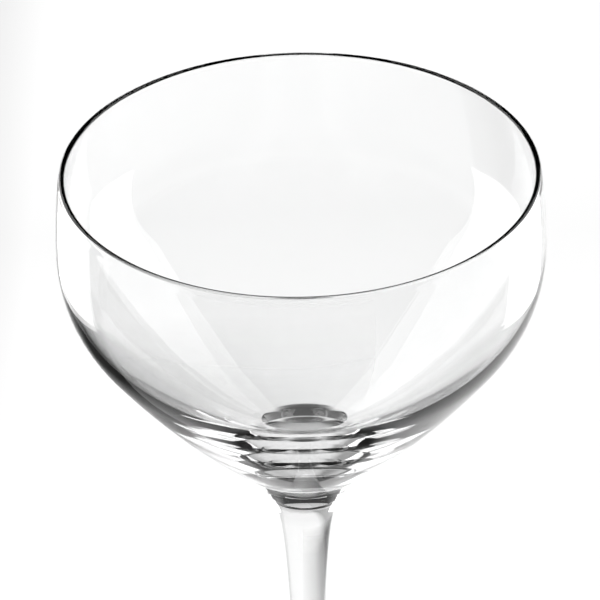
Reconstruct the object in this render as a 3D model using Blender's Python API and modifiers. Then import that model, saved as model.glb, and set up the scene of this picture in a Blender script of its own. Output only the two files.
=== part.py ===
"""A stemmed cocktail saucer: a round clear glass bowl with a thick base, a drawn stem and a flat foot.

The glass stands on z = 0 with its axis on Z. Every piece is a turned shape: a profile in the
X-Z plane, carried round the axis by a Screw modifier.
"""

import math

import bpy

# Driving dimensions, in metres; a drop is measured down from the rim
GLASS_HEIGHT = 0.170
RIM_RADIUS = 0.0481
BULGE_RADIUS = 0.0494
BULGE_DROP = 0.0175
RIM_WALL = 0.00115
SHOULDER_RADIUS = 0.0321
SHOULDER_TURN = math.radians(35.3)
UNDERSIDE_RADIUS = 0.219
COLLAR_RADIUS = 0.0104
JOINT_RADIUS = 0.0085
JOINT_DROP = 0.0771
THICKENING_START = 0.0164
THICKENING_POWER = 2.076
FLOOR_RADIUS = 0.00958
FLOOR_DROP = 0.06606
FLOOR_RISE = 0.00108
FLOOR_RISE_POWER = 3.2
STEM_SLIM_RADIUS = 0.00157
STEM_TAPER = 0.00362
STEM_TAPER_LENGTH = 0.060
STEM_FLARE = 0.00331
STEM_FLARE_LENGTH = 0.00529
STEM_FLARE_POWER = 0.868
NECK_SWELL = 0.00188
NECK_SWELL_LENGTH = 0.0099
NECK_HEIGHT = 0.013
FOOT_RADIUS = 0.039
FOOT_EDGE = 0.0012
FOOT_FLARE_LENGTH = 0.0062
FUSED_GAP = 0.0003
CORNER_STEP = 0.0003

BOWL_TURNS = 72
STEM_TURNS = 32
FOOT_TURNS = 72
AXIS_MERGE = 0.00001

GLASS_COLOUR = (0.97, 0.98, 0.98, 1.0)
GLASS_IOR = 1.5


def arc(centre_r, centre_z, radius, start, end, steps):
    """Points on a circle in the profile plane; angles are measured from +r towards +z."""
    turn = (end - start) / steps
    return [
        (
            centre_r + radius * math.cos(start + turn * step),
            centre_z + radius * math.sin(start + turn * step),
        )
        for step in range(steps + 1)
    ]


def bowl_outside():
    """From the rim down to the collar above the stem: wall, shoulder and underside."""
    bulge = BULGE_RADIUS - RIM_RADIUS
    wall_radius = (bulge**2 + BULGE_DROP**2) / (2 * bulge)
    bulge_z = GLASS_HEIGHT - BULGE_DROP
    wall_turn = math.asin(BULGE_DROP / wall_radius)
    wall = arc(BULGE_RADIUS - wall_radius, bulge_z, wall_radius, wall_turn, 0, 5)

    shoulder_r = BULGE_RADIUS - SHOULDER_RADIUS
    shoulder = arc(shoulder_r, bulge_z, SHOULDER_RADIUS, 0, -SHOULDER_TURN, 7)

    end_r, end_z = shoulder[-1]
    centre_r = end_r - UNDERSIDE_RADIUS * math.cos(SHOULDER_TURN)
    centre_z = end_z + UNDERSIDE_RADIUS * math.sin(SHOULDER_TURN)
    last_turn = math.acos((COLLAR_RADIUS - centre_r) / UNDERSIDE_RADIUS)
    underside = arc(centre_r, centre_z, UNDERSIDE_RADIUS, -SHOULDER_TURN, -last_turn, 10)
    return wall + shoulder[1:] + underside[1:]


def moved_in(outside, swelling):
    """The outside moved in along its own normal by the glass thickness at each depth."""
    deepest = GLASS_HEIGHT - outside[-1][1]
    inside = []
    for before, point, after in zip([outside[0]] + outside, outside, outside[1:] + [outside[-1]]):
        run_r = after[0] - before[0]
        run_z = after[1] - before[1]
        length = math.hypot(run_r, run_z)
        share = (GLASS_HEIGHT - point[1] - THICKENING_START) / (deepest - THICKENING_START)
        thickness = RIM_WALL + swelling * max(0.0, share) ** THICKENING_POWER
        inside.append((point[0] + thickness * run_z / length, point[1] - thickness * run_r / length))
    return inside


def radius_at_floor(inside):
    """Radius of the inner wall where it reaches the floor's depth, or zero if it never does."""
    floor_z = GLASS_HEIGHT - FLOOR_DROP
    for upper, lower in zip(inside, inside[1:]):
        if lower[1] <= floor_z:
            share = (upper[1] - floor_z) / (upper[1] - lower[1])
            return upper[0] + (lower[0] - upper[0]) * share
    return 0.0


def inner_wall(outside):
    """The inside wall, whose glass swells by whatever brings it to the edge of the floor."""
    least = 0.0
    most = FLOOR_DROP / 2
    for _ in range(40):
        swelling = (least + most) / 2
        if radius_at_floor(moved_in(outside, swelling)) > FLOOR_RADIUS:
            least = swelling
        else:
            most = swelling
    floor_z = GLASS_HEIGHT - FLOOR_DROP
    return [point for point in moved_in(outside, swelling) if point[1] > floor_z + CORNER_STEP]


def bowl_floor():
    """From the floor's edge to the axis; the floor rises a little in the middle."""
    floor_z = GLASS_HEIGHT - FLOOR_DROP
    points = []
    steps = 5
    for step in range(steps + 1):
        share = 1 - step / steps
        points.append((FLOOR_RADIUS * share, floor_z + FLOOR_RISE * (1 - share**FLOOR_RISE_POWER)))
    return points


def bowl_profile():
    outside = bowl_outside()
    inside = inner_wall(outside)[1:] + bowl_floor()
    lip_z = GLASS_HEIGHT - RIM_WALL / 2
    lip = arc(RIM_RADIUS - RIM_WALL / 2, lip_z, RIM_WALL / 2, math.pi, 0, 6)
    joint_z = GLASS_HEIGHT - JOINT_DROP
    return inside[::-1] + lip + outside[1:] + [(JOINT_RADIUS, joint_z), (0.0, joint_z)]


def stem_radius(z):
    """A long taper with a short flare under the bowl, and a swelling above the foot."""
    drop = GLASS_HEIGHT - JOINT_DROP - z
    taper = STEM_TAPER * math.exp(-drop / STEM_TAPER_LENGTH)
    flare = STEM_FLARE * math.exp(-((max(0.0, drop) / STEM_FLARE_LENGTH) ** STEM_FLARE_POWER))
    swell = NECK_SWELL * math.exp((NECK_HEIGHT - z) / NECK_SWELL_LENGTH)
    return STEM_SLIM_RADIUS + taper + flare + swell


def stem_profile():
    """Rings lie closest together in the flare, where the radius changes fastest."""
    top = GLASS_HEIGHT - JOINT_DROP - FUSED_GAP
    bottom = NECK_HEIGHT + FUSED_GAP
    side = []
    steps = 20
    for step in range(steps + 1):
        z = top + (bottom - top) * (step / steps) ** 1.6
        side.append((stem_radius(z), z))
    return [(0.0, top)] + side + [(0.0, bottom)]


def foot_profile():
    """A thin disc that rises in a smooth flare to the neck under the stem."""
    neck_r = stem_radius(NECK_HEIGHT)
    edge_r = FOOT_RADIUS - FOOT_EDGE / 2
    steps = 10
    top = []
    for step in range(steps):
        r = neck_r + (edge_r - neck_r) * (step / steps) ** 1.6
        rise = (NECK_HEIGHT - FOOT_EDGE) * math.exp(-(r - neck_r) / FOOT_FLARE_LENGTH)
        top.append((r, FOOT_EDGE + rise))
    edge = arc(edge_r, FOOT_EDGE / 2, FOOT_EDGE / 2, math.pi / 2, -math.pi / 2, 4)
    return [(0.0, NECK_HEIGHT)] + top + edge + [(0.0, 0.0)]


def glass_material(name, roughness):
    material = bpy.data.materials.new(name)
    material.use_nodes = True
    shader = material.node_tree.nodes["Principled BSDF"]
    shader.inputs["Base Color"].default_value = GLASS_COLOUR
    shader.inputs["Metallic"].default_value = 0.0
    shader.inputs["Roughness"].default_value = roughness
    shader.inputs["IOR"].default_value = GLASS_IOR
    shader.inputs["Transmission Weight"].default_value = 1.0
    return material


def turned(name, profile, turns, material, collection):
    """One closed turned solid whose profile starts and ends on the axis."""
    mesh = bpy.data.meshes.new(name)
    points = [(r, 0.0, z) for r, z in profile]
    edges = [(index, index + 1) for index in range(len(points) - 1)]
    mesh.from_pydata(points, edges, [])
    piece = bpy.data.objects.new(name, mesh)
    collection.objects.link(piece)
    screw = piece.modifiers.new("turn", "SCREW")
    screw.axis = "Z"
    screw.angle = 2 * math.pi
    screw.steps = turns
    screw.render_steps = turns
    screw.use_merge_vertices = True
    screw.merge_threshold = AXIS_MERGE
    screw.use_smooth_shade = True
    mesh.materials.append(material)
    return piece


for leftover in list(bpy.data.objects):
    bpy.data.objects.remove(leftover, do_unlink=True)

saucer = bpy.data.collections.new("cocktail_saucer")
bpy.context.scene.collection.children.link(saucer)
turned("bowl", bowl_profile(), BOWL_TURNS, glass_material("bowl_glass", 0.01), saucer)
turned("stem", stem_profile(), STEM_TURNS, glass_material("stem_glass", 0.02), saucer)
turned("foot", foot_profile(), FOOT_TURNS, glass_material("foot_glass", 0.02), saucer)
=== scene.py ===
import math

import bpy
from mathutils import Matrix, Vector


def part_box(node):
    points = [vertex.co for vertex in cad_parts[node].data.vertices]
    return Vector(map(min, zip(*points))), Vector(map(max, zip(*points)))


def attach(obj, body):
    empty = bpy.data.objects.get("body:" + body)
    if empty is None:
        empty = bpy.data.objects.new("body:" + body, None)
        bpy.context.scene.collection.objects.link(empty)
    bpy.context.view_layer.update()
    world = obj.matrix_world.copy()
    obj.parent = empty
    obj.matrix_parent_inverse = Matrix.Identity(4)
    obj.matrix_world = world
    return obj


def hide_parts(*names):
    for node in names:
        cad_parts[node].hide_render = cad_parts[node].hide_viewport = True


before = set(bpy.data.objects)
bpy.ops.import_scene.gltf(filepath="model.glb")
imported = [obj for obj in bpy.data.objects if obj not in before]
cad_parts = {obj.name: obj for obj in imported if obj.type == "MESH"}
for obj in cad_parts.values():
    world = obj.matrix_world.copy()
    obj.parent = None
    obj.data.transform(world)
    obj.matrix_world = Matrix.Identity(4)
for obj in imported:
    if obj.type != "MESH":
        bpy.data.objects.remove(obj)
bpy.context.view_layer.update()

# ---------------------------------------------------------------------------------------------
# Bowl
# One body of clear glass with a thin fire-polished lip. The wall is even down to the shoulder
# and then swells into a solid base, whose floor rises a little in the middle. It is turned
# glass, so it is made by carrying one profile round the axis.

MM = 0.001

bowl_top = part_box("bowl")[1]
RIM_Z = bowl_top.z
BULGE_RADIUS = bowl_top.x
RIM_LEAN = 1.3 * MM
RIM_RADIUS = BULGE_RADIUS - RIM_LEAN
BULGE_DROP = 17.5 * MM
RIM_WALL = 1.15 * MM
SHOULDER_RADIUS = 32.1 * MM
SHOULDER_TURN = math.radians(35.3)
UNDERSIDE_RADIUS = 219 * MM
COLLAR_RADIUS = 10.4 * MM
JOINT_RADIUS = 8.5 * MM
JOINT_DROP = 77.1 * MM
THICKENING_START = 16.4 * MM
THICKENING_POWER = 2.076
FLOOR_RADIUS = 9.58 * MM
FLOOR_DROP = 66.06 * MM
FLOOR_RISE = 1.08 * MM
FLOOR_RISE_POWER = 3.2
LIP_CLEARANCE = 0.2 * MM
CORNER_STEP = 0.1 * MM
CAP_STEPS = 6
BOWL_TURNS = 192
SHARP_EDGE = math.radians(28)
SEAM_WELD = 0.001 * MM
JOINT_REACH = 0.01 * MM


def arc(centre_r, centre_z, radius, start, end, steps):
    """Points on a circle in the profile plane; angles are measured from +r towards +z."""
    turn = (end - start) / steps
    return [
        (
            centre_r + radius * math.cos(start + turn * step),
            centre_z + radius * math.sin(start + turn * step),
        )
        for step in range(steps + 1)
    ]


def straight(start, end, steps):
    return [
        (
            start[0] + (end[0] - start[0]) * step / steps,
            start[1] + (end[1] - start[1]) * step / steps,
        )
        for step in range(steps + 1)
    ]


def bowl_outside():
    """From the lip down: wall, shoulder and underside, as far as the collar above the stem."""
    bulge = BULGE_RADIUS - RIM_RADIUS
    wall_radius = (bulge**2 + BULGE_DROP**2) / (2 * bulge)
    bulge_z = RIM_Z - BULGE_DROP
    wall_turn = math.asin(BULGE_DROP / wall_radius)
    wall = arc(BULGE_RADIUS - wall_radius, bulge_z, wall_radius, wall_turn, 0, 24)
    shoulder_r = BULGE_RADIUS - SHOULDER_RADIUS
    shoulder = arc(shoulder_r, bulge_z, SHOULDER_RADIUS, 0, -SHOULDER_TURN, 40)
    end_r, end_z = shoulder[-1]
    centre_r = end_r - UNDERSIDE_RADIUS * math.cos(SHOULDER_TURN)
    centre_z = end_z + UNDERSIDE_RADIUS * math.sin(SHOULDER_TURN)
    last_turn = math.acos((COLLAR_RADIUS - centre_r) / UNDERSIDE_RADIUS)
    underside = arc(centre_r, centre_z, UNDERSIDE_RADIUS, -SHOULDER_TURN, -last_turn, 80)
    return wall + shoulder[1:] + underside[1:]


def moved_in(outside, swelling):
    """The outside moved in along its own normal by the glass thickness at each depth."""
    deepest = RIM_Z - outside[-1][1]
    inside = []
    for before, point, after in zip([outside[0]] + outside, outside, outside[1:] + [outside[-1]]):
        run_r = after[0] - before[0]
        run_z = after[1] - before[1]
        length = math.hypot(run_r, run_z)
        share = (RIM_Z - point[1] - THICKENING_START) / (deepest - THICKENING_START)
        thickness = RIM_WALL + swelling * max(0.0, share) ** THICKENING_POWER
        inside.append(
            (point[0] + thickness * run_z / length, point[1] - thickness * run_r / length)
        )
    return inside


def radius_at_floor(inside):
    """Radius of the inner wall where it reaches the floor's depth, or zero if it never does."""
    floor_z = RIM_Z - FLOOR_DROP
    for upper, lower in zip(inside, inside[1:]):
        if lower[1] <= floor_z:
            share = (upper[1] - floor_z) / (upper[1] - lower[1])
            return upper[0] + (lower[0] - upper[0]) * share
    return 0.0


def bowl_inside(outside):
    """The inside wall, whose glass swells by whatever brings it to the edge of the floor."""
    least, most = 0.0, 40 * MM
    for _ in range(40):
        swelling = (least + most) / 2
        if radius_at_floor(moved_in(outside, swelling)) > FLOOR_RADIUS:
            least = swelling
        else:
            most = swelling
    floor_z = RIM_Z - FLOOR_DROP
    wall = [point for point in moved_in(outside, swelling) if point[1] > floor_z + CORNER_STEP]
    floor = []
    steps = 30
    for step in range(steps + 1):
        share = 1 - step / steps
        rise = FLOOR_RISE * (1 - share**FLOOR_RISE_POWER)
        floor.append((FLOOR_RADIUS * share, floor_z + rise))
    return wall + floor


def bowl_profile():
    """Starts on the axis at the floor, climbs the inside, crosses the lip, ends at the joint."""
    outside = bowl_outside()
    inside = bowl_inside(outside)
    lip_r = RIM_RADIUS - RIM_WALL / 2
    lip_z = RIM_Z - RIM_WALL / 2
    lip = arc(lip_r, lip_z, RIM_WALL / 2, math.pi, 0, 16)
    below_lip = [point for point in outside if point[1] < lip_z - LIP_CLEARANCE]
    inside_below_lip = [point for point in inside if point[1] < lip_z - LIP_CLEARANCE]
    joint = (JOINT_RADIUS, RIM_Z - JOINT_DROP)
    collar = straight(outside[-1], joint, CAP_STEPS)[1:]
    cap = straight(joint, (0.0, joint[1]), CAP_STEPS)[1:]
    return inside_below_lip[::-1] + lip + below_lip + collar + cap


def add_node(tree, kind, **settings):
    node = tree.nodes.new(kind)
    for name, value in settings.items():
        setattr(node, name, value)
    return node


def calculate(tree, operation, first, second):
    """A Math node; each of its two inputs is a socket, a number or, for one-sided sums, None."""
    node = add_node(tree, "ShaderNodeMath", operation=operation)
    for socket, value in zip(node.inputs, (first, second)):
        if isinstance(value, bpy.types.NodeSocket):
            tree.links.new(value, socket)
        elif value is not None:
            socket.default_value = value
    return node.outputs[0]


def turning_tree():
    """Geometry Nodes lathe: every column of a grid takes the profile's points, turned about Z."""
    tree = bpy.data.node_groups.new("turned_glass", "GeometryNodeTree")
    face = tree.interface
    face.new_socket("Profile", in_out="INPUT", socket_type="NodeSocketGeometry")
    face.new_socket("Turns", in_out="INPUT", socket_type="NodeSocketInt")
    face.new_socket("Seam Weld", in_out="INPUT", socket_type="NodeSocketFloat")
    face.new_socket("Lower Joint Height", in_out="INPUT", socket_type="NodeSocketFloat")
    face.new_socket("Upper Joint Height", in_out="INPUT", socket_type="NodeSocketFloat")
    face.new_socket("Glass", in_out="INPUT", socket_type="NodeSocketMaterial")
    face.new_socket("Fused Joint", in_out="INPUT", socket_type="NodeSocketMaterial")
    face.new_socket("Turned", in_out="OUTPUT", socket_type="NodeSocketGeometry")
    given = tree.nodes.new("NodeGroupInput")
    result = tree.nodes.new("NodeGroupOutput")

    count = add_node(tree, "GeometryNodeAttributeDomainSize", component="MESH")
    tree.links.new(given.outputs["Profile"], count.inputs["Geometry"])
    grid = tree.nodes.new("GeometryNodeMeshGrid")
    columns = calculate(tree, "ADD", given.outputs["Turns"], 1.0)
    tree.links.new(columns, grid.inputs["Vertices X"])
    tree.links.new(count.outputs["Point Count"], grid.inputs["Vertices Y"])

    index = tree.nodes.new("GeometryNodeInputIndex").outputs[0]
    row = calculate(tree, "MODULO", index, count.outputs["Point Count"])
    share = calculate(tree, "DIVIDE", index, count.outputs["Point Count"])
    column = calculate(tree, "FLOOR", share, None)
    turn = calculate(tree, "DIVIDE", column, given.outputs["Turns"])
    angle = calculate(tree, "MULTIPLY", turn, 2 * math.pi)

    position = tree.nodes.new("GeometryNodeInputPosition").outputs[0]
    sample = add_node(tree, "GeometryNodeSampleIndex", data_type="FLOAT_VECTOR", domain="POINT")
    tree.links.new(given.outputs["Profile"], sample.inputs["Geometry"])
    tree.links.new(position, sample.inputs["Value"])
    tree.links.new(row, sample.inputs["Index"])
    split = tree.nodes.new("ShaderNodeSeparateXYZ")
    tree.links.new(sample.outputs[0], split.inputs[0])
    place = tree.nodes.new("ShaderNodeCombineXYZ")
    cosine = calculate(tree, "COSINE", angle, None)
    sine = calculate(tree, "SINE", angle, None)
    tree.links.new(calculate(tree, "MULTIPLY", split.outputs["X"], cosine), place.inputs["X"])
    tree.links.new(calculate(tree, "MULTIPLY", split.outputs["X"], sine), place.inputs["Y"])
    tree.links.new(split.outputs["Z"], place.inputs["Z"])
    put = tree.nodes.new("GeometryNodeSetPosition")
    tree.links.new(grid.outputs["Mesh"], put.inputs["Geometry"])
    tree.links.new(place.outputs[0], put.inputs["Position"])

    outward = tree.nodes.new("GeometryNodeFlipFaces")
    tree.links.new(put.outputs[0], outward.inputs["Mesh"])
    weld = tree.nodes.new("GeometryNodeMergeByDistance")
    tree.links.new(outward.outputs[0], weld.inputs["Geometry"])
    tree.links.new(given.outputs["Seam Weld"], weld.inputs["Distance"])
    smooth = tree.nodes.new("GeometryNodeSetShadeSmooth")
    tree.links.new(weld.outputs[0], smooth.inputs["Geometry"])
    real = tree.nodes.new("GeometryNodeRealizeInstances")
    tree.links.new(smooth.outputs[0], real.inputs["Geometry"])
    coat = tree.nodes.new("GeometryNodeSetMaterial")
    tree.links.new(real.outputs[0], coat.inputs["Geometry"])
    tree.links.new(given.outputs["Glass"], coat.inputs["Material"])

    height = tree.nodes.new("ShaderNodeSeparateXYZ")
    tree.links.new(position, height.inputs[0])
    near = []
    for name in ("Lower Joint Height", "Upper Joint Height"):
        node = add_node(tree, "ShaderNodeMath", operation="COMPARE")
        tree.links.new(height.outputs["Z"], node.inputs[0])
        tree.links.new(given.outputs[name], node.inputs[1])
        node.inputs[2].default_value = JOINT_REACH
        near.append(node.outputs[0])
    joint = tree.nodes.new("GeometryNodeSetMaterial")
    tree.links.new(coat.outputs[0], joint.inputs["Geometry"])
    tree.links.new(calculate(tree, "MAXIMUM", *near), joint.inputs["Selection"])
    tree.links.new(given.outputs["Fused Joint"], joint.inputs["Material"])
    tree.links.new(joint.outputs[0], result.inputs["Turned"])
    return tree


TURNING = turning_tree()
NO_JOINT = -1.0


def turned(name, profile, turns, glass, joint, lower=NO_JOINT, upper=NO_JOINT):
    """Runs a profile of (radius, height) pairs through the lathe and returns a plain mesh object."""
    wire = bpy.data.meshes.new(name + "_profile")
    points = [(r, 0.0, z) for r, z in profile]
    edges = [(index, index + 1) for index in range(len(points) - 1)]
    wire.from_pydata(points, edges, [])
    draft = bpy.data.objects.new(name + "_profile", wire)
    bpy.context.scene.collection.objects.link(draft)
    lathe = draft.modifiers.new("lathe", "NODES")
    lathe.node_group = TURNING
    values = {
        "Turns": turns,
        "Seam Weld": SEAM_WELD,
        "Lower Joint Height": lower,
        "Upper Joint Height": upper,
        "Glass": glass,
        "Fused Joint": joint,
    }
    for item in TURNING.interface.items_tree:
        if item.in_out == "INPUT" and item.name in values:
            lathe[item.identifier] = values[item.name]
    graph = bpy.context.evaluated_depsgraph_get()
    mesh = bpy.data.meshes.new_from_object(draft.evaluated_get(graph))
    mesh.name = name
    mesh.materials.pop(index=0)
    mesh.set_sharp_from_angle(angle=SHARP_EDGE)
    piece = bpy.data.objects.new(name, mesh)
    # Clear glass would throw a black shadow here, so it throws none
    piece.visible_shadow = False
    bpy.context.scene.collection.objects.link(piece)
    bpy.data.objects.remove(draft)
    return piece


def fused_joint():
    """Glass meets glass here, so light goes straight through the faces that close a piece."""
    material = bpy.data.materials.new("fused_joint")
    material.use_nodes = True
    tree = material.node_tree
    tree.nodes.clear()
    clear = tree.nodes.new("ShaderNodeBsdfTransparent")
    end = tree.nodes.new("ShaderNodeOutputMaterial")
    tree.links.new(clear.outputs[0], end.inputs["Surface"])
    return material


WAVE_DEPTH = 0.004 * MM
GLASS_TINT = (0.985, 0.99, 0.99, 1.0)


def clear_glass(name, wave_size):
    """Fire-polished glass: nearly smooth, with a faint slow waviness left by the mould."""
    material = bpy.data.materials.new(name)
    material.use_nodes = True
    tree = material.node_tree
    shader = tree.nodes["Principled BSDF"]
    shader.inputs["Transmission Weight"].default_value = 1.0
    shader.inputs["IOR"].default_value = 1.5
    place = tree.nodes.new("ShaderNodeTexCoord").outputs["Object"]

    wave = tree.nodes.new("ShaderNodeTexNoise")
    wave.inputs["Scale"].default_value = 1 / wave_size
    wave.inputs["Detail"].default_value = 1.0
    tree.links.new(place, wave.inputs["Vector"])
    bump = tree.nodes.new("ShaderNodeBump")
    bump.inputs["Strength"].default_value = 1.0
    bump.inputs["Distance"].default_value = WAVE_DEPTH
    tree.links.new(wave.outputs["Fac"], bump.inputs["Height"])
    tree.links.new(bump.outputs["Normal"], shader.inputs["Normal"])

    haze = tree.nodes.new("ShaderNodeTexNoise")
    haze.inputs["Scale"].default_value = 90.0
    haze.inputs["Detail"].default_value = 3.0
    tree.links.new(place, haze.inputs["Vector"])
    polish = tree.nodes.new("ShaderNodeMapRange")
    polish.inputs["From Min"].default_value = 0.55
    polish.inputs["From Max"].default_value = 0.8
    polish.inputs["To Min"].default_value = 0.0
    polish.inputs["To Max"].default_value = 0.006
    tree.links.new(haze.outputs["Fac"], polish.inputs["Value"])
    tree.links.new(polish.outputs["Result"], shader.inputs["Roughness"])

    shade = tree.nodes.new("ShaderNodeMix")
    shade.data_type = "RGBA"
    shade.inputs["A"].default_value = (1.0, 1.0, 1.0, 1.0)
    shade.inputs["B"].default_value = GLASS_TINT
    tree.links.new(haze.outputs["Fac"], shade.inputs["Factor"])
    tree.links.new(shade.outputs["Result"], shader.inputs["Base Color"])
    return material


JOINT = fused_joint()
JOINT_Z = RIM_Z - JOINT_DROP
bowl_glass = clear_glass("bowl_clear_glass", 30 * MM)
bowl = turned("glass_bowl", bowl_profile(), BOWL_TURNS, bowl_glass, JOINT, upper=JOINT_Z)
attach(bowl, "root")
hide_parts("bowl")

# ---------------------------------------------------------------------------------------------
# Stem
# Solid glass, drawn out below the bowl: a short flare under the collar, then a long taper, and
# a swelling again where it meets the foot. It is fused to both.

NECK_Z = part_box("stem")[0].z
SLIM_RADIUS = 1.57 * MM
TAPER = 3.62 * MM
TAPER_LENGTH = 60 * MM
FLARE = 3.31 * MM
FLARE_LENGTH = 5.29 * MM
FLARE_POWER = 0.868
NECK_SWELL = 1.88 * MM
NECK_SWELL_LENGTH = 9.9 * MM
STEM_TURNS = 128
TOUCHING = 0.01 * MM


def stem_radius(z):
    """A long taper with a short flare at its top and a swelling at its foot."""
    drop = max(0.0, JOINT_Z - z)
    taper = TAPER * math.exp(-drop / TAPER_LENGTH)
    flare = FLARE * math.exp(-((drop / FLARE_LENGTH) ** FLARE_POWER))
    swell = NECK_SWELL * math.exp((NECK_Z - z) / NECK_SWELL_LENGTH)
    return SLIM_RADIUS + taper + flare + swell


def stem_profile():
    """Rings lie closest together in the flare, where the radius changes fastest."""
    top = JOINT_Z - TOUCHING
    steps = 150
    side = []
    for step in range(steps + 1):
        z = top + (NECK_Z - top) * (step / steps) ** 1.7
        side.append((stem_radius(z), z))
    cap = straight((0.0, top), side[0], CAP_STEPS)
    base = straight(side[-1], (0.0, NECK_Z), CAP_STEPS)
    return cap[:-1] + side + base[1:]


stem_glass = clear_glass("stem_clear_glass", 20 * MM)
STEM_TOP_Z = JOINT_Z - TOUCHING
stem = turned(
    "glass_stem", stem_profile(), STEM_TURNS, stem_glass, JOINT, lower=NECK_Z, upper=STEM_TOP_Z
)
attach(stem, "root")
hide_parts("stem")

# ---------------------------------------------------------------------------------------------
# Foot
# A thin round plate of glass, spun out flat below the stem and rising to it in a smooth flare.
# Its edge is fire-polished like the lip, and its underside is slightly hollow.

FOOT_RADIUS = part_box("foot")[1].x
FOOT_EDGE = 1.2 * MM
FOOT_FLARE_LENGTH = 6.2 * MM
FOOT_HOLLOW = 0.5 * MM
FOOT_TURNS = 192


def foot_profile():
    top_z = NECK_Z - TOUCHING
    neck_r = stem_radius(NECK_Z)
    edge_r = FOOT_RADIUS - FOOT_EDGE / 2
    steps = 90
    upper = []
    for step in range(steps):
        r = neck_r + (edge_r - neck_r) * (step / steps) ** 1.6
        rise = (top_z - FOOT_EDGE) * math.exp(-(r - neck_r) / FOOT_FLARE_LENGTH)
        upper.append((r, FOOT_EDGE + rise))
    edge = arc(edge_r, FOOT_EDGE / 2, FOOT_EDGE / 2, math.pi / 2, -math.pi / 2, 14)
    lower = []
    steps = 24
    for step in range(1, steps + 1):
        share = 1 - step / steps
        lower.append((edge_r * share, FOOT_HOLLOW * (1 - share**4)))
    cap = straight((0.0, top_z), upper[0], 4)
    return cap[:-1] + upper + edge + lower


foot_glass = clear_glass("foot_clear_glass", 25 * MM)
foot = turned("glass_foot", foot_profile(), FOOT_TURNS, foot_glass, JOINT, upper=NECK_Z - TOUCHING)
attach(foot, "root")
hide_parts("foot")

# ---------------------------------------------------------------------------------------------
# Floor
# A wide sheet of matt paper with painted light and shade: painted pale behind the glass, with
# painted shade in front and to the left, a deep painted shadow under the foot and a painted glow
# far off. The glass throws no shadow of its own. A small sheet of painted shade lies behind the
# foot on the left, out of the camera's sight: only the glass shows it.

FLOOR_SPAN = 8.0


def faded(tree, value, low, high, smooth=True):
    """A value that runs from one (position, result) pair to another."""
    fade = tree.nodes.new("ShaderNodeMapRange")
    fade.interpolation_type = "SMOOTHSTEP" if smooth else "LINEAR"
    fade.inputs["From Min"].default_value, fade.inputs["To Min"].default_value = low
    fade.inputs["From Max"].default_value, fade.inputs["To Max"].default_value = high
    tree.links.new(value, fade.inputs["Value"])
    return fade.outputs["Result"]


def graded(tree, axis, steps):
    """A grey that runs through (position, grey) steps along one axis of a sheet of paper."""
    start, end = steps[0][0], steps[-1][0]
    split = tree.nodes.new("ShaderNodeSeparateXYZ")
    tree.links.new(tree.nodes.new("ShaderNodeTexCoord").outputs["Object"], split.inputs[0])
    along = faded(tree, split.outputs[axis], (start, 0.0), (end, 1.0), smooth=False)
    ramp = tree.nodes.new("ShaderNodeValToRGB")
    elements = ramp.color_ramp.elements
    while len(elements) < len(steps):
        elements.new(0.5)
    for element, (place, grey) in zip(elements, steps):
        element.position = (place - start) / (end - start)
        element.color = (grey, grey, grey, 1.0)
    tree.links.new(along, ramp.inputs["Fac"])
    return ramp.outputs["Color"]


def paper_sheet(name, low, high, height, shade):
    """A flat sheet of matt paper between two corners; shade links the greys into its material."""
    mesh = bpy.data.meshes.new(name)
    corners = [(low[0], low[1], height), (high[0], low[1], height)]
    corners += [(high[0], high[1], height), (low[0], high[1], height)]
    mesh.from_pydata(corners, [], [(0, 1, 2, 3)])
    material = bpy.data.materials.new(name)
    material.use_nodes = True
    tree = material.node_tree
    shader = tree.nodes["Principled BSDF"]
    shader.inputs["Roughness"].default_value = 1.0
    shader.inputs["Specular IOR Level"].default_value = 0.0
    shade(tree, shader)
    mesh.materials.append(material)
    sheet = bpy.data.objects.new(name, mesh)
    bpy.context.scene.collection.objects.link(sheet)
    return sheet


def shade_floor(tree, shader):
    """Painted shade in front, on the left and under the foot, painted light behind; the far paper has
    a painted glow, least in front.
    """
    # Painted light and shade: greyer to the left and in front, paler behind the glass, as a lamp's
    # pool and a shadow would make it
    left_painted_shade = graded(tree, "X", [(-0.4, 0.6), (-0.14, 0.45), (-0.075, 1.0), (0.4, 1.0)])
    along = graded(tree, "Y", [(-0.16, 0.17), (0.08, 0.6), (0.25, 0.65), (0.42, 0.85)])
    place = tree.nodes.new("ShaderNodeTexCoord").outputs["Object"]
    distance = tree.nodes.new("ShaderNodeVectorMath")
    distance.operation = "LENGTH"
    tree.links.new(place, distance.inputs[0])
    radius = distance.outputs["Value"]
    # Painted shadow under the foot, in place of the one the glass doesn't throw
    painted_contact_shadow = faded(tree, radius, (0.95 * FOOT_RADIUS, 0.07), (1.5 * FOOT_RADIUS, 1.0))
    grey = calculate(tree, "MULTIPLY", left_painted_shade, along)
    tree.links.new(calculate(tree, "MULTIPLY", grey, painted_contact_shadow), shader.inputs["Base Color"])
    # Painted glow: the far paper gives off light of its own, though it is no lamp
    painted_far_glow = faded(tree, radius, (0.45, 0.0), (1.3, 0.6))
    behind = graded(tree, "Y", [(-0.5, 0.3), (0.3, 1.0)])
    shader.inputs["Emission Color"].default_value = (1.0, 1.0, 1.0, 1.0)
    tree.links.new(calculate(tree, "MULTIPLY", painted_far_glow, behind), shader.inputs["Emission Strength"])


def paint_shadow_sheet(tree, shader):
    """Painted shade, darkest at its far left; it thins out to nothing towards the back."""
    greys = [(-0.3, 0.03), (-0.115, 0.05), (-0.09, 0.2), (-0.067, 0.26), (-0.034, 0.42), (0.02, 0.58)]
    tree.links.new(graded(tree, "X", greys), shader.inputs["Base Color"])
    tree.links.new(graded(tree, "Y", [(0.12, 1.0), (0.19, 0.0)]), shader.inputs["Alpha"])


paper_sheet("floor", (-FLOOR_SPAN, -FLOOR_SPAN), (FLOOR_SPAN, FLOOR_SPAN), -0.1 * MM, shade_floor)
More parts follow.
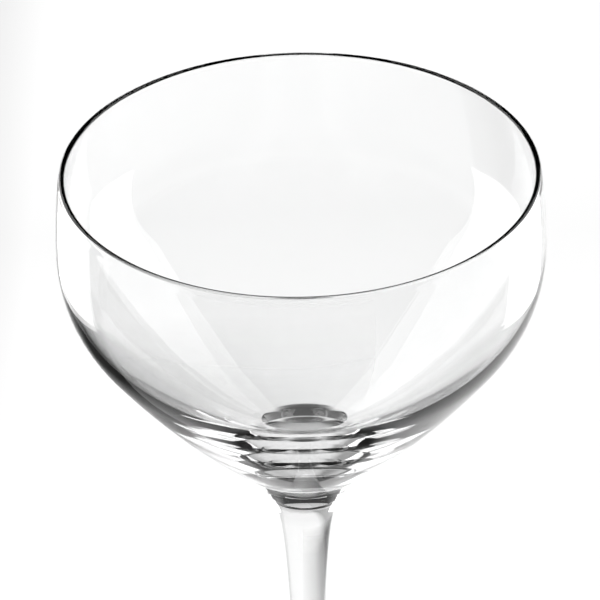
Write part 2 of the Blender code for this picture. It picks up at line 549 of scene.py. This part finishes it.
# A sheet of painted shade in place of the glass's shadow to the left: unseen by the camera, it lights
# and shades nothing
shade_sheet = paper_sheet("painted_shadow_sheet", (-0.3, 0.045), (0.02, 0.19), 0.5 * MM, paint_shadow_sheet)
shade_sheet.visible_camera = False
shade_sheet.visible_shadow = False
shade_sheet.visible_diffuse = False

# ---------------------------------------------------------------------------------------------
# Light
# A small lamp straight above whitens the paper. Two tall panels stand close on either side, a
# little behind the glass, and show only in it. The room is bright below and near the horizon
# and dim above, so that the glass is drawn by dark edges on white.

world = bpy.data.worlds.new("studio")
bpy.context.scene.world = world
world.use_nodes = True
room = world.node_tree
direction = room.nodes.new("ShaderNodeTexCoord").outputs["Generated"]
split = room.nodes.new("ShaderNodeSeparateXYZ")
room.links.new(direction, split.inputs[0])
upward = faded(room, split.outputs["Z"], (0.14, 1.05), (0.26, 0.03))
backward = faded(room, split.outputs["Y"], (-0.2, 0.3), (0.8, 1.0), smooth=False)
glow = calculate(room, "MULTIPLY", upward, backward)
room.links.new(glow, room.nodes["Background"].inputs["Strength"])


def studio_lamp(name, place, aim, width, height, power):
    """A flat rectangular lamp that the camera doesn't see directly."""
    data = bpy.data.lights.new(name, "AREA")
    data.shape = "RECTANGLE"
    data.size = width
    data.size_y = height
    data.energy = power
    lamp = bpy.data.objects.new(name, data)
    lamp.location = place
    lamp.visible_camera = False
    lamp.rotation_euler = (Vector(aim) - Vector(place)).to_track_quat("-Z", "Y").to_euler()
    bpy.context.scene.collection.objects.link(lamp)
    return lamp


top_lamp = studio_lamp("top_lamp", (0, 0, 0.9), (0, 0, 0), 0.07, 0.07, 14.3)
top_lamp.visible_glossy = False
top_lamp.visible_transmission = False
PANEL_Z = 0.325
PANEL_HEIGHT = 0.55
for name, x, y, width, power in (
    ("left_panel", -0.13, 0.083, 0.12, 0.35),
    ("right_panel", 0.14, 0.066, 0.10, 0.31),
):
    panel = studio_lamp(name, (x, y, PANEL_Z), (0, 0, PANEL_Z), width, PANEL_HEIGHT, power)
    panel.visible_diffuse = False

# ---------------------------------------------------------------------------------------------
# Camera
# It looks down on the rim from just over thirty degrees, close enough for the stem to run out
# of the bottom of the frame.

CAMERA_DISTANCE = 0.790
CAMERA_TILT = math.radians(32.66)
CAMERA_ROLL = math.radians(1.11)
CAMERA_AIM = Vector((-0.45 * MM, 0.0, RIM_Z - 31.1 * MM))
camera_data = bpy.data.cameras.new("camera")
camera_data.lens = 232.8
camera_data.sensor_width = 36.0
camera_data.clip_start = 0.01
camera = bpy.data.objects.new("camera", camera_data)
look = Vector((0.0, math.cos(CAMERA_TILT), -math.sin(CAMERA_TILT)))
facing = look.to_track_quat("-Z", "Y").to_matrix().to_4x4()
roll = Matrix.Rotation(-CAMERA_ROLL, 4, "Z")
camera.matrix_world = Matrix.Translation(CAMERA_AIM - look * CAMERA_DISTANCE) @ facing @ roll
bpy.context.scene.collection.objects.link(camera)
bpy.context.scene.camera = camera

# Light crosses many glass faces in the thick base, and white has to stay white.
cycles = bpy.context.scene.cycles
cycles.max_bounces = 64
cycles.transmission_bounces = 64
cycles.glossy_bounces = 20
cycles.transparent_max_bounces = 24
cycles.caustics_refractive = False
cycles.caustics_reflective = False
bpy.context.scene.view_settings.view_transform = "Standard"
